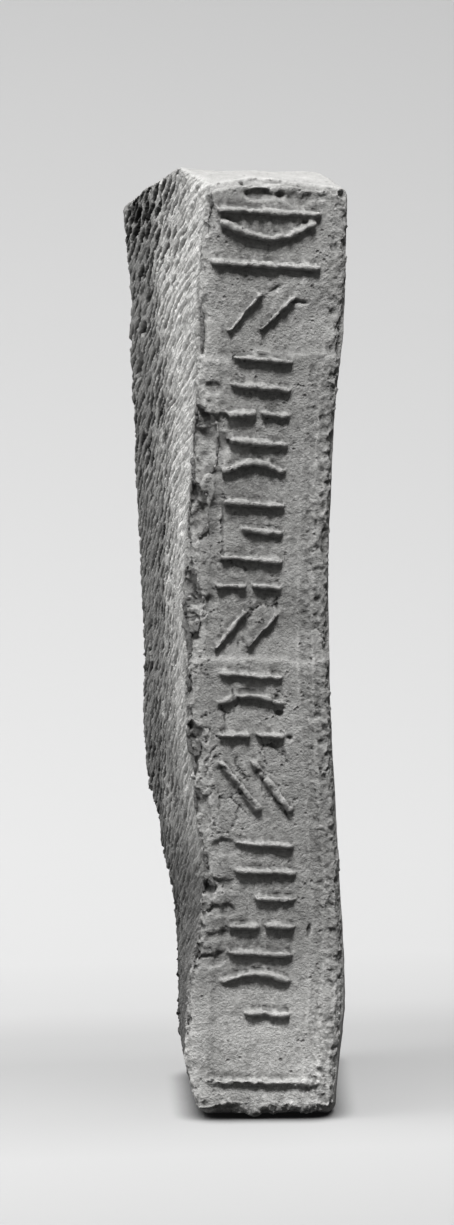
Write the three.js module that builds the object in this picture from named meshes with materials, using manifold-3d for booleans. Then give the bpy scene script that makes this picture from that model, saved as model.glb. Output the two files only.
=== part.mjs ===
// A fragment of a tomb brick of grey fired clay, standing on its finished end.
//
// Millimetres, +Z up. The narrow moulded edge with its column of raised strokes faces -Y, the broad
// side that was beaten with a cord-wrapped paddle faces -X, and the plain broad side faces +X. The
// foot is the brick's own end. The top and the back are old breaks. The brick warped and twisted as
// it dried, so its sides are worked out level by level from the foot to the upper break.

import * as THREE from 'three';
import { mergeVertices } from 'three/addons/utils/BufferGeometryUtils.js';
import Module from 'manifold-3d';

const { clamp, degToRad, lerp, smoothstep } = THREE.MathUtils;

// Driving dimensions of the brick
const HEIGHT = 338; // foot to the peak of the upper break
const FACE_WIDTH = 53; // width of the moulded edge, which is the brick's thickness
const CORD_SIDE_DEPTH = 120; // what is left of the cord-marked side, front to back
const PLAIN_SIDE_DEPTH = 112; // what is left of the plain side, front to back
const BACK_FLARE = 4; // extra thickness at the back, all of it on the plain side
const EDGE_ROUND = 2.4; // wear along every edge

// Warp, each given at evenly spaced levels from the foot to the top
const LEFT_WANDER = [-4, -3, 3, -1.3, -3.8, -2.4, 0.4, 1.2, 4.6]; // mm to the right, front left edge
const RIGHT_WANDER = [-2.2, 1.4, 1.6, -1.3, -2.9, -2.8, -1, 2.7, 3.6]; // the same, front right edge
const TWIST = [-8.2, -7.5, -1.2, -1.8, -3, -1.4, 1.2, 2.4, 5.5]; // degrees about the upright axis
const CORD_SIDE_LEFT = [0.97, 0.93, 1, 1, 1, 1, 1, 0.97, 0.98]; // share of the cord side's depth that is left

// The moulded edge was pressed in several goes. Each pressing stands out at its top and sinks towards
// the next one below, so that their meetings are low ledges across the face.
const PRESSING_TOPS = [410, 277, 169, 35, -60]; // heights above the foot, the outer two beyond the brick
const PRESSING_RISE = 1.8;
const PRESSING_SLOPE = 9; // height of the slope between two pressings
const PRESSING_REACH = 24; // how far back along the sides they are felt

// The moulded edge: a sunk panel between two margins, below a plain stretch at the top
const MARGIN_WIDTH = 9.5;
const MARGIN_RISE = 0.8;
const MARGIN_STEP = 1.4; // width of the slope from margin to panel
const SWELL_INSET = 1.6; // the right margin turns back towards a swollen side by this much
const SWELL_REACH = 9; // and over this depth
const SWELL_TOP = 230; // height from which it dies out towards the top

// The foot: the moulded edge flares out towards it. Its front edge is worn up off the ground, its edge
// along the cord side is rounded, and it is broken away below that side's back
const FOOT_FLARE = 3;
const FLARE_HEIGHT = 34;
const FOOT_LIFT = 2.6;
const FOOT_REACH = 14; // how far back the wear goes
const SOLE_ROUND = 8; // how far the cord side is drawn in at the ground
const SOLE_HEIGHT = 20; // and the height over which it is
const HEEL_LIFT = 11; // height of the loss at the back of the cord side
const HEEL_START = 26; // how far back it begins
const HEEL_SHARE = 0.45; // it dies out this far across the foot

// The upper break: a ridge across the top, falling to the front corners and to the back
const RIDGE_SHARE = 0.4; // how far back the ridge lies, as a share of the depth
const FRONT_FALL = 1.6; // from the ridge to the front edge, half way across
const CORNER_FALL = 3.4; // further fall at the front corners
const LEFT_BACK_FALL = 17;
const RIGHT_BACK_FALL = 9;
const RIDGE_TILT = 2.6; // fall of the ridge from left to right
const TOP_ROUGHNESS = 1.4;

// The break down the back
const BACK_ROUGHNESS = 2.6;
const BREAK_WAVES = [ // unevenness of both breaks: wavelengths in mm, how far they sway, and their share
  { width: 102, height: 238, sway: 2.3, share: 0.6 },
  { width: 61, height: 52, sway: 1.9, share: 0.4 },
];
const LEDGES = [ // steps in the broken edge of the cord side: height, and what is lost below each
  { height: 97, step: 20 },
  { height: 77, step: 15 },
];
const LEDGE_RISE = 6; // height over which each steps
const LEDGE_SHARE = 0.7; // they die out this far across the back

// Strokes of the moulded column
const STROKE_WIDTH = 3.3;
const STROKE_RISE = 1.8;
const STROKE_SPAN = 20.5; // length of a full bar
const STROKE_FALL = 1.1; // a bar's right end lies this much lower
const STROKE_PITCH = 10;
const FIRST_ROW_DROP = 9.5; // from the top of the brick to the first row
const STROKE_OFFSET = -3.6; // middle of the column from the middle of the face
const FOOT_BAR_HEIGHT = 11; // the bar that closes the column above the foot
const FOOT_BAR_SPAN = 37;

// How finely the surfaces are divided
const LEVELS = 38;
const STEPS_BACK = 11;
const STROKE_SIDES = 8;

const brickClay = new THREE.MeshStandardMaterial({ color: 0x8a8884, roughness: 0.93, metalness: 0 });

// The value at a share of the height, on a smooth curve through evenly spaced stations.
function along(stations, share) {
  const last = stations.length - 1;
  const place = clamp(share, 0, 1) * last;
  const below = Math.min(Math.floor(place), last - 1);
  const t = place - below;
  const [p0, p1, p2, p3] = [-1, 0, 1, 2].map((k) => stations[clamp(below + k, 0, last)]);
  const slope = p2 - p0;
  const bend = 2 * p0 - 5 * p1 + 4 * p2 - p3;
  return 0.5 * (2 * p1 + slope * t + bend * t ** 2 + (3 * (p1 - p2) + p3 - p0) * t ** 3);
}

// Uneven surface of broken clay, from -1 to 1: long slopes with smaller lumps on them.
function brokenness(x, y) {
  return BREAK_WAVES.reduce((sum, { width, height, sway, share }) => {
    const bend = sway * Math.sin((2 * Math.PI * y) / height);
    return sum + share * Math.sin((2 * Math.PI * x) / width + bend);
  }, 0);
}

// Fall of the upper break below the peak. across runs from -1 to 1 and back from 0 to 1.
function topFall(across, back) {
  const right = (across + 1) / 2;
  const toFront = clamp((RIDGE_SHARE - back) / RIDGE_SHARE, 0, 1);
  const toBack = clamp((back - RIDGE_SHARE) / (1 - RIDGE_SHARE), 0, 1);
  const frontFall = (FRONT_FALL + CORNER_FALL * across ** 2) * toFront ** 1.5;
  const backFall = lerp(LEFT_BACK_FALL, RIGHT_BACK_FALL, right) * toBack;
  const grain = (TOP_ROUGHNESS * (1 + brokenness(across * FACE_WIDTH, back * CORD_SIDE_DEPTH))) / 2;
  return frontFall + backFall + RIDGE_TILT * right + grain;
}

// Lift of the foot's underside above the ground, at its worn front edge and at its broken heel.
function footLift(across, inward) {
  const heel = clamp((inward - HEEL_START) / (CORD_SIDE_DEPTH - HEEL_START), 0, 1);
  const heelFade = clamp(1 - (across + 1) / (2 * HEEL_SHARE), 0, 1);
  return FOOT_LIFT * clamp(1 - inward / FOOT_REACH, 0, 1) + HEEL_LIFT * heel * heelFade;
}

// Depth of the brick from front to back, at a share of its width and a height.
function depthAt(across, height) {
  const right = (across + 1) / 2;
  const left = CORD_SIDE_DEPTH * along(CORD_SIDE_LEFT, height / HEIGHT);
  const ledgeFade = clamp(1 - right / LEDGE_SHARE, 0, 1);
  const lost = LEDGES.reduce((sum, ledge) => {
    return sum + ledge.step * (1 - smoothstep(height, ledge.height - LEDGE_RISE, ledge.height));
  }, 0);
  const grain = BACK_ROUGHNESS * brokenness(across * FACE_WIDTH, height);
  return lerp(left, PLAIN_SIDE_DEPTH, right) - ledgeFade * lost + grain;
}

// How far one pressing of the mould has sunk at a height, from its own top down to the next.
function pressingRecess(height) {
  const below = PRESSING_TOPS.findIndex((top) => top < height);
  const [top, next] = [PRESSING_TOPS[below - 1], PRESSING_TOPS[below]];
  const sunk = (top - height) / (top - next);
  return PRESSING_RISE * sunk * smoothstep(height, next, next + PRESSING_SLOPE);
}

// How far the front face stands back from its foremost plane at a place on it.
function faceRecess(side, height) {
  const panelHalf = FACE_WIDTH / 2 - MARGIN_WIDTH;
  const sunk = clamp((panelHalf + MARGIN_STEP - Math.abs(side)) / MARGIN_STEP, 0, 1);
  const framed = 1 - smoothstep(height, PRESSING_TOPS[1], PRESSING_TOPS[1] + PRESSING_SLOPE);
  const flare = FOOT_FLARE * clamp(1 - height / FLARE_HEIGHT, 0, 1) ** 1.5;
  return pressingRecess(height) + MARGIN_RISE * sunk * framed - flare;
}

// A point of the brick. across runs from -1 (cord side) to 1, back from 0 (moulded edge) to 1 and
// up from 0 (foot) to 1. A point on an edge or a corner of the block is drawn in by the wear.
function brickPoint(across, back, up) {
  const extremes = [Math.abs(across) === 1, back === 0 || back === 1, up === 0 || up === 1];
  const count = extremes.filter(Boolean).length;
  const wear = EDGE_ROUND * [0, 0, 1 - Math.SQRT1_2, 1 - Math.sqrt(1 / 3)][count];

  let inward = back * depthAt(across, up * HEIGHT);
  const lowest = footLift(across, inward);
  const highest = HEIGHT - topFall(across, back);
  let height = lerp(lowest, highest, up);
  let side = (across * FACE_WIDTH) / 2 + (back * BACK_FLARE * (across + 1)) / 2;
  const swellFade = clamp(1 - inward / SWELL_REACH, 0, 1) * (1 - smoothstep(height, SWELL_TOP, HEIGHT));
  side -= SWELL_INSET * swellFade * Math.max(across, 0) ** 6;
  side += SOLE_ROUND * clamp(1 - height / SOLE_HEIGHT, 0, 1) ** 1.5 * Math.max(-across, 0) ** 2;

  if (count > 1) {
    side -= extremes[0] ? Math.sign(across) * wear : 0;
    inward += extremes[1] ? (0.5 - back) * 2 * wear : 0;
    height += extremes[2] ? (0.5 - up) * 2 * wear : 0;
  }

  const right = (across + 1) / 2;
  const wander = lerp(along(LEFT_WANDER, up), along(RIGHT_WANDER, up), right);
  const nearFront = 1 - smoothstep(inward, 0, PRESSING_REACH);
  const recess = inward + faceRecess(side, height) * nearFront;
  const turned = new THREE.Vector3(side, recess, height);
  turned.applyAxisAngle(new THREE.Vector3(0, 0, 1), degToRad(along(TWIST, up)));
  return turned.add(new THREE.Vector3(wander, 0, 0));
}

// Shares of the width at which the block is divided: the margins' edges and the panel.
function acrossStops() {
  const half = FACE_WIDTH / 2;
  const panelHalf = half - MARGIN_WIDTH;
  const rightStops = [panelHalf / 2, panelHalf, panelHalf + MARGIN_STEP, half - EDGE_ROUND, half];
  const leftStops = rightStops.map((stop) => -stop).reverse();
  return [...leftStops, 0, ...rightStops].map((stop) => stop / half);
}

// Shares of a length at which it is divided: the worn edges, then even steps between them.
function evenStops(length, steps, firstStops) {
  const first = firstStops[firstStops.length - 1];
  const even = Array.from({ length: steps }, (_, i) => lerp(first, length - EDGE_ROUND, (i + 1) / steps));
  return [0, ...firstStops, ...even, length].map((stop) => stop / length);
}

// A closed solid for joining and cutting, from any closed geometry.
function solidOf(wasm, geometry) {
  geometry.deleteAttribute('normal');
  geometry.deleteAttribute('uv');
  const merged = mergeVertices(geometry, 1e-4);
  return new wasm.Manifold(
    new wasm.Mesh({
      numProp: 3,
      vertProperties: new Float32Array(merged.attributes.position.array),
      triVerts: new Uint32Array(merged.index.array),
    }),
  );
}

// The warped block with its panel, its worn edges and its two breaks.
function brickBlock() {
  const stops = [
    acrossStops(),
    evenStops(CORD_SIDE_DEPTH, STEPS_BACK, [EDGE_ROUND, FOOT_REACH]),
    evenStops(HEIGHT, LEVELS, [EDGE_ROUND]),
  ];
  const steps = stops.map((list) => list.length - 1);
  const block = new THREE.BoxGeometry(1, 1, 1, ...steps);
  const places = block.attributes.position;
  for (let i = 0; i < places.count; i++) {
    const unit = [places.getX(i), places.getY(i), places.getZ(i)];
    const [across, back, up] = unit.map((value, k) => stops[k][Math.round((value + 0.5) * steps[k])]);
    places.setXYZ(i, ...brickPoint(across, back, up).toArray());
  }
  return block;
}

// A point on the front face, at a distance from its middle line and a height.
function facePoint(side, height) {
  return brickPoint((2 * side) / FACE_WIDTH, 0, height / HEIGHT);
}

// One raised stroke through places on the front face, each [side, height]: a half-buried rounded bar.
function strokeSolid(wasm, places) {
  const radius = STROKE_WIDTH / 2;
  const points = places.map(([side, height]) => facePoint(side, height));
  points.forEach((point) => point.setY(point.y + radius - STROKE_RISE));
  const bars = points.slice(1).map((end, i) => {
    const start = points[i];
    const run = end.clone().sub(start);
    const bar = new THREE.CapsuleGeometry(radius, run.length(), 2, STROKE_SIDES);
    const turn = new THREE.Quaternion().setFromUnitVectors(new THREE.Vector3(0, 1, 0), run.normalize());
    bar.applyQuaternion(turn);
    bar.translate(...start.clone().add(end).multiplyScalar(0.5).toArray());
    return solidOf(wasm, bar);
  });
  return bars.reduce((joined, bar) => joined.add(bar));
}

// A stroke between two shares of the column's half width, falling steadily from left to right.
function sloping(from, to, middle, fall) {
  const half = STROKE_SPAN / 2;
  return [
    [STROKE_OFFSET + from * half, middle + fall / 2],
    [STROKE_OFFSET + to * half, middle - fall / 2],
  ];
}

// A bar, which lies a little lower at its right end.
function straight(from, to, height) {
  return sloping(from, to, height, (STROKE_FALL * (to - from)) / 2);
}

// A steep stroke whose fall, in pitches, is given; it hangs below the row's height.
function slanted(from, to, height, fall) {
  return sloping(from, to, height - (STROKE_PITCH * Math.abs(fall)) / 2, STROKE_PITCH * fall);
}

// A stroke that sags or arches between its ends, which are at a share of the column's half width.
function bowed(reach, height, sag) {
  const parts = 4;
  return Array.from({ length: parts + 1 }, (_, i) => {
    const share = (2 * i) / parts - 1;
    return [STROKE_OFFSET + (reach * share * STROKE_SPAN) / 2, height - sag * (1 - share ** 2)];
  });
}

// The kinds of row in the column: how many pitches each takes, and its strokes from its own height.
// Ends are shares of the column's half width, from -1 at the left, and falls are in pitches.
const ROW_KINDS = {
  bar: { pitches: 1, strokes: (h) => [straight(-0.9, 1, h)] },
  short: { pitches: 1, strokes: (h) => [straight(-0.2, 1, h)] },
  pair: { pitches: 1, strokes: (h) => [straight(-1, -0.2, h), straight(0.25, 1, h)] },
  long: { pitches: 1.3, strokes: (h) => [straight(-1.75, 1.75, h)] },
  slung: {
    pitches: 1.9,
    strokes: (h) => [straight(-1.75, 1.75, h), bowed(1.55, h - STROKE_PITCH * 0.45, STROKE_PITCH * 0.7)],
  },
  arched: { pitches: 1.2, strokes: (h) => [bowed(1, h, -STROKE_PITCH * 0.25)] },
  rising: {
    pitches: 2.2,
    strokes: (h) => [-1.1, 0].map((from) => slanted(from, from + 0.95, h, -1.2)),
  },
  falling: {
    pitches: 3,
    strokes: (h) => [-1.1, 0].map((from) => slanted(from, from + 1.1, h, 1.7)),
  },
};

// The column from the top down.
const ROWS = [
  'slung', 'long', 'rising', 'bar', 'bar', 'pair', 'bar', 'arched', 'bar', 'short', 'bar', 'pair',
  'rising', 'bar', 'arched', 'pair', 'falling', 'bar', 'bar', 'short', 'pair', 'bar', 'arched', 'short',
];

// Every stroke of the column, as a list of solids.
function columnStrokes(wasm) {
  const strokes = [];
  let height = HEIGHT - FIRST_ROW_DROP;
  for (const kind of ROWS) {
    const row = ROW_KINDS[kind];
    strokes.push(...row.strokes(height).map((places) => strokeSolid(wasm, places)));
    height -= row.pitches * STROKE_PITCH;
  }
  const footHalf = FOOT_BAR_SPAN / 2;
  strokes.push(strokeSolid(wasm, [[-footHalf, FOOT_BAR_HEIGHT + STROKE_FALL], [footHalf, FOOT_BAR_HEIGHT]]));
  return strokes;
}

// Chips along the edges: [across, back, up] shares of the place, then width, depth and height in mm.
const CHIPS = [
  { at: [-1, 0, 0.728], size: [17, 7, 30] },
  { at: [-1, 0, 0.655], size: [13, 5, 24] },
  { at: [-1, 0, 0.56], size: [13, 5, 26] },
  { at: [-1, 0, 0.41], size: [9, 4, 14] },
  { at: [-1, 0, 0.33], size: [11, 4, 18] },
  { at: [-1, 0, 0.24], size: [8, 4, 12] },
  { at: [-1, 0, -0.005], size: [10, 14, 10] },
  { at: [1, 0, 1], size: [9, 5, 3.5] },
  { at: [-0.2, 0, 1], size: [20, 8, 5] },
  { at: [1, 0, 0.62], size: [5, 4, 16] },
  { at: [1, 0, -0.01], size: [7, 8, 11] },
  { at: [0.25, 0, -0.006], size: [14, 8, 6] },
  { at: [-0.45, 0, -0.006], size: [11, 7, 6] },
  { at: [-1, 1, 0.28], size: [12, 16, 18] },
  { at: [1, 1, 0.86], size: [14, 20, 34] },
];
const CHIP_TURN = 0.7; // radians about the upright axis, from one chip's lump to the next
const CHIP_TIP = 0.4; // and about the width

// One chip, cut from the edge by a lump with flat facets, turned a little further for each chip.
function chipSolid(wasm, { at, size }, index) {
  const lump = new THREE.DodecahedronGeometry(0.5);
  lump.rotateZ(index * CHIP_TURN);
  lump.rotateX(index * CHIP_TIP);
  lump.scale(...size);
  lump.translate(...brickPoint(...at).toArray());
  return solidOf(wasm, lump);
}

// A buffer geometry from a joined solid, shifted to stand with the middle of its box on the origin.
function standingGeometry(solid) {
  const mesh = solid.getMesh();
  const geometry = new THREE.BufferGeometry();
  geometry.setAttribute('position', new THREE.BufferAttribute(new Float32Array(mesh.vertProperties), 3));
  geometry.setIndex(new THREE.BufferAttribute(new Uint32Array(mesh.triVerts), 1));
  geometry.computeBoundingBox();
  const middle = geometry.boundingBox.getCenter(new THREE.Vector3());
  geometry.translate(-middle.x, -middle.y, -geometry.boundingBox.min.z);
  geometry.computeVertexNormals();
  return geometry;
}

const wasm = await Module();
wasm.setup();

const strokes = columnStrokes(wasm);
const chips = CHIPS.map((chip, index) => chipSolid(wasm, chip, index));
const chipped = chips.reduce((solid, chip) => solid.subtract(chip), solidOf(wasm, brickBlock()));
const brick = strokes.reduce((solid, stroke) => solid.add(stroke), chipped);

const fragment = new THREE.Mesh(standingGeometry(brick), brickClay);
fragment.name = 'brick_fragment';

const model = new THREE.Group();
model.add(fragment);

export default model;
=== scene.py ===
"""An inscribed fragment of a grey tomb brick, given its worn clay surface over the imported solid.

The fragment stands on its own end. Its narrow moulded edge faces -Y, its cord-marked side -X and its
plain side +X. Lengths in the classes below are in millimetres, and meshes are in metres.
"""

import itertools
import logging
import math
from dataclasses import dataclass, field
from enum import Enum
from typing import Optional

import bpy
import numpy as np
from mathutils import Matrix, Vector, kdtree


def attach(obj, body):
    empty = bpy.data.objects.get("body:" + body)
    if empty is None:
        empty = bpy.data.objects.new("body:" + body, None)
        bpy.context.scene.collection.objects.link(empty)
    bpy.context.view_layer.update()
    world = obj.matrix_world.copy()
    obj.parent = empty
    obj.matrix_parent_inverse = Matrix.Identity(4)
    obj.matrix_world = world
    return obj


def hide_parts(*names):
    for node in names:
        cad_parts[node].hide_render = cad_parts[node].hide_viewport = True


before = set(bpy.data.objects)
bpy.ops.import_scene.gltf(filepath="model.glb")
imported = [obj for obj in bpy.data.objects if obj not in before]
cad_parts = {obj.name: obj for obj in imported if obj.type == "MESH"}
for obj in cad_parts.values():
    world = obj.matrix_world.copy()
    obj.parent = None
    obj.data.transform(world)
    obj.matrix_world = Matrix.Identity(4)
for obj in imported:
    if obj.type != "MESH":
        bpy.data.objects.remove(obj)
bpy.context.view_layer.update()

logging.basicConfig(level=logging.INFO, format="%(name)s: %(message)s")
log = logging.getLogger("brick")

MM = 0.001
HASH_PRIMES = (0x9E3779B97F4A7C15, 0xC2B2AE3D27D4EB4F, 0x165667B19E3779F9)
HASH_MIX = np.uint64(0xFF51AFD7ED558CCD)


def chance(cells: np.ndarray, seed: int) -> np.ndarray:
    """Gives each cell an even random share from 0 to 1, the same on every run.

    Args:
        cells: whole numbers, one row for each cell.
        seed: a number that makes one draw differ from another.

    Returns:
        One share for each row.
    """
    mixed = np.full(len(cells), seed * 7919 + 1, dtype=np.uint64)
    for column, prime in zip(cells.T, HASH_PRIMES):
        mixed = (mixed ^ (column.astype(np.int64).astype(np.uint64) * np.uint64(prime))) * HASH_MIX
        mixed ^= mixed >> np.uint64(31)
    return (mixed >> np.uint64(11)).astype(float) / 2.0**53


def smooth(value: np.ndarray, low: float, high: float) -> np.ndarray:
    """Rises smoothly from 0 at low to 1 at high.

    Args:
        value: where it is asked for.
        low: the value at which it leaves 0.
        high: the value at which it reaches 1.

    Returns:
        The rise at each value.
    """
    share = np.clip((value - low) / (high - low), 0, 1)
    return share * share * (3 - 2 * share)


def noise(places: np.ndarray, size: float, seed: int) -> np.ndarray:
    """Smooth noise from -1 to 1.

    Args:
        places: points in two or three dimensions, one row each.
        size: how far apart its lumps are, in the same unit.
        seed: a number that makes one noise differ from another.

    Returns:
        The noise at each place.
    """
    scaled = places / size
    cells = np.floor(scaled).astype(np.int64)
    share = smooth(scaled - cells, 0, 1)
    total = np.zeros(len(places))
    for corner in itertools.product((0, 1), repeat=places.shape[1]):
        weight = np.prod(np.where(corner, share, 1 - share), axis=1)
        total += weight * chance(cells + corner, seed)
    return 2 * total - 1


def only(piece: bpy.types.Object) -> None:
    """Makes a piece the only one selected, and the active one."""
    bpy.ops.object.select_all(action="DESELECT")
    piece.select_set(True)
    bpy.context.view_layer.objects.active = piece


def modify(piece: bpy.types.Object, kind: str, **settings: object) -> None:
    """Adds a modifier to a piece and applies it.

    Args:
        piece: the object to change.
        kind: the modifier's type.
        settings: the modifier's values, by their names.
    """
    only(piece)
    modifier = piece.modifiers.new(kind.title(), kind)
    for name, value in settings.items():
        setattr(modifier, name, value)
    bpy.ops.object.modifier_apply(modifier=modifier.name)


class Zone(Enum):
    """The brick's kinds of surface, by the names of their vertex groups."""

    PANEL = "panel"
    MARGIN = "margin"
    CORDED = "corded"
    PLAIN = "plain"
    BROKEN = "broken"
    FOOT = "foot"
    ARRIS = "arris"


@dataclass
class Clay:
    """The finely divided surface, and how far each vertex lies inside the brick's smooth sides.

    Args:
        places: the vertices, in millimetres.
        normals: their normals.
    """

    places: np.ndarray
    normals: np.ndarray
    level_height: float = 6.0
    facing: float = 0.96
    stray: float = 1.0

    def __post_init__(self) -> None:
        """Measures the vertices against the moulded edge, the cord-marked side and the plain side."""
        self.height = self.places[:, 2]
        self.front = self.inside(1, -1)
        self.left = self.inside(0, -1)
        self.right = self.inside(0, 1)
        self.share = self.left / np.maximum(self.left + self.right, 1.0)
        self.face_plan = np.column_stack([self.left, self.height])
        self.side_plan = np.column_stack([self.front, self.height])

    def inside(self, axis: int, sign: int) -> np.ndarray:
        """Measures how far each vertex lies inside one upright side of the brick.

        Args:
            axis: 0 for a side that faces along X, 1 for one that faces along Y.
            sign: the direction that the side faces along its axis.

        Returns:
            The distance inwards for each vertex, in millimetres.
        """
        across = self.places[:, 1 - axis]
        outward = self.places[:, axis] * sign
        facing = self.normals[:, axis] * sign > self.facing
        levels, lines = [], []
        for level in np.arange(0, self.height.max(), self.level_height):
            chosen = facing & (np.abs(self.height - level) < self.level_height)
            if chosen.sum() < 50:
                continue
            line = np.polyfit(across[chosen], outward[chosen], 1)
            chosen &= np.abs(outward - np.polyval(line, across)) < self.stray
            levels.append(level)
            lines.append(np.polyfit(across[chosen], outward[chosen], 1))
        slopes, offsets = np.array(lines).T
        surface = np.interp(self.height, levels, slopes) * across
        surface += np.interp(self.height, levels, offsets)
        return surface - outward


@dataclass
class CordMarks:
    """Dashes left by the twisted cord of the paddle that beat the broad side."""

    row_pitch: float = 4.2
    row_slope: float = 0.52
    row_curve: float = 0.0006
    row_sway: float = 1.7
    dash_pitch: float = 13.5
    dash_length: float = 14.5
    dash_half_width: float = 1.2
    row_stagger: float = 5.3
    depth: float = 4.1
    faint_depth: float = 0.6
    faint_reach: float = 70.0
    strand_pitch: float = 1.3
    strand_length: float = 16.0
    strand_depth: float = 0.8
    seed: int = 11

    def cut(self, clay: Clay) -> np.ndarray:
        """Works out how deep the marks are at each vertex, as if all of them lay on that side."""
        flat, inward, height = clay.side_plan, clay.front, clay.height
        sway = self.row_sway * noise(flat, 26, self.seed) + 0.9 * noise(flat, 8, self.seed + 1)
        rise = self.row_slope * inward + self.row_curve * inward**2
        row_place = (height + rise + sway) / self.row_pitch
        depth = np.zeros(len(inward))
        for step in (-1, 0, 1):
            row = np.floor(row_place) + step
            run = inward + row * self.row_stagger
            number = np.floor(run / self.dash_pitch)
            cells = np.column_stack([row, number]).astype(np.int64)
            lift, shift, size, force, lean = (chance(cells, self.seed + k) for k in range(2, 7))
            off_row = (row_place - row - 0.5 + 0.6 * (lift - 0.5)) * self.row_pitch
            off_run = run - (number + 0.5) * self.dash_pitch + 5.0 * (shift - 0.5)
            off_row += (0.02 + 0.16 * lean) * off_run
            half = self.dash_length * (0.22 + 0.34 * size)
            across = np.clip(1 - np.abs(off_row) / (self.dash_half_width * (0.7 + 0.7 * force)), 0, 1)
            along = np.clip(1 - (np.abs(off_run) / half) ** 3, 0, 1)
            depth = np.maximum(depth, across * along * (0.25 + 0.75 * force))
        full = smooth(inward, 10, self.faint_reach)
        worn = 0.85 + 0.4 * noise(flat, 31, self.seed + 9) - 0.1 * smooth(-height, -190, -90)
        depth *= (self.faint_depth + (self.depth - self.faint_depth) * full) * np.clip(worn, 0.2, 1.3)
        over = row_place * self.row_pitch / self.strand_pitch
        lines = np.column_stack([inward / self.strand_length, over])
        strands = 0.5 + 0.5 * noise(lines, 1.0, self.seed + 10)
        return depth + self.strand_depth * (1 - 0.5 * full) * strands


@dataclass
class CrackNet:
    """Fine shrinkage cracks over the middle of the moulded edge."""

    cell: float = 9.0
    half_width: float = 0.3
    depth: float = 0.75
    lowest: float = 92.0
    highest: float = 214.0
    fade: float = 25.0
    bend: float = 2.2
    seed: int = 41

    def cut(self, clay: Clay) -> np.ndarray:
        """Works out how deep the cracks are at each vertex, as if all of them lay on the face."""
        flat = clay.face_plan
        bends = np.column_stack([noise(flat, 4, self.seed), noise(flat, 4, self.seed + 1)])
        bends += 0.35 * np.column_stack([noise(flat, 1.3, self.seed + 5), noise(flat, 1.3, self.seed + 6)])
        bent = flat + bends * self.bend
        cells = np.floor(bent / self.cell).astype(np.int64)
        nearest = np.full(len(flat), np.inf)
        second = nearest.copy()
        for step in itertools.product((-1, 0, 1), repeat=2):
            own = cells + step
            seeds = np.column_stack([chance(own, self.seed + 2), chance(own, self.seed + 3)])
            gap = np.linalg.norm((own + seeds) * self.cell - bent, axis=1)
            second = np.minimum(second, np.maximum(gap, nearest))
            nearest = np.minimum(nearest, gap)
        line = np.clip(1 - (second - nearest) / (2 * self.half_width), 0, 1)
        broken = smooth(noise(flat, 8, self.seed + 4), 0.0, 0.3)
        rise = smooth(clay.height, self.lowest, self.lowest + self.fade)
        fall = 1 - smooth(clay.height, self.highest - self.fade, self.highest)
        return self.depth * line * broken * rise * fall


@dataclass(frozen=True)
class Flaking:
    """Clay that flaked off along an arris of the moulded edge, in two layers.

    Args:
        reach: how far onto the face it goes.
        depth: how deep each layer is.
        amount: how much of the arris is lost.
        lowest: height from which it runs.
        highest: height to which it runs.
        seed: the draw.
    """

    reach: float
    depth: float
    amount: float
    lowest: float
    highest: float
    seed: int

    def cut(self, clay: Clay, off_edge: np.ndarray) -> np.ndarray:
        """Works out how deep the loss is at each vertex.

        Args:
            clay: the surface.
            off_edge: distance of each vertex from the arris.

        Returns:
            The depth at each vertex, in millimetres.
        """
        plan = clay.face_plan * np.array([1.0, 1.5])
        edge = 0.65 * noise(plan, 13, self.seed) + 0.4 * noise(plan, 5, self.seed + 1)
        edge += 0.2 * noise(plan, 2, self.seed + 2)
        run = smooth(clay.height, self.lowest, self.lowest + 20)
        run *= 1 - smooth(clay.height, self.highest - 20, self.highest)
        edge += self.amount * run - 1.25 * off_edge / self.reach
        layers = smooth(edge, 0.0, 0.12) + smooth(edge, 0.42, 0.5)
        floor = 1 + 0.35 * noise(plan, 2.6, self.seed + 3)
        return self.depth * layers * floor


@dataclass(frozen=True)
class PitChain:
    """Small pits, one above another, along the right margin of the moulded edge.

    Args:
        off_edge: how far they lie from the right arris.
        pitch: how far apart they are.
        size: how wide each is.
        depth: how deep the deepest is.
        amount: the share of them that is there.
        seed: the draw.
    """

    off_edge: float = 4.4
    pitch: float = 4.6
    size: float = 2.6
    depth: float = 0.75
    amount: float = 0.65
    seed: int = 91

    def cut(self, clay: Clay) -> np.ndarray:
        """Works out how deep the pits are at each vertex, as if all of them lay on the face."""
        number = np.floor(clay.height / self.pitch)
        cells = np.column_stack([number, np.zeros_like(number)]).astype(np.int64)
        across, up, force, there = (chance(cells, self.seed + k) for k in range(4))
        side = clay.right - self.off_edge - 3.4 * (across - 0.5)
        rise = clay.height - (number + 0.35 + 0.3 * up) * self.pitch
        edge = np.hypot(side, rise) * 2 / self.size + 0.55 * noise(clay.face_plan, 1.7, self.seed + 4)
        return self.depth * (0.4 + 0.6 * force) * (there < self.amount) * (1 - smooth(edge, 0.5, 1.1))


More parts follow.
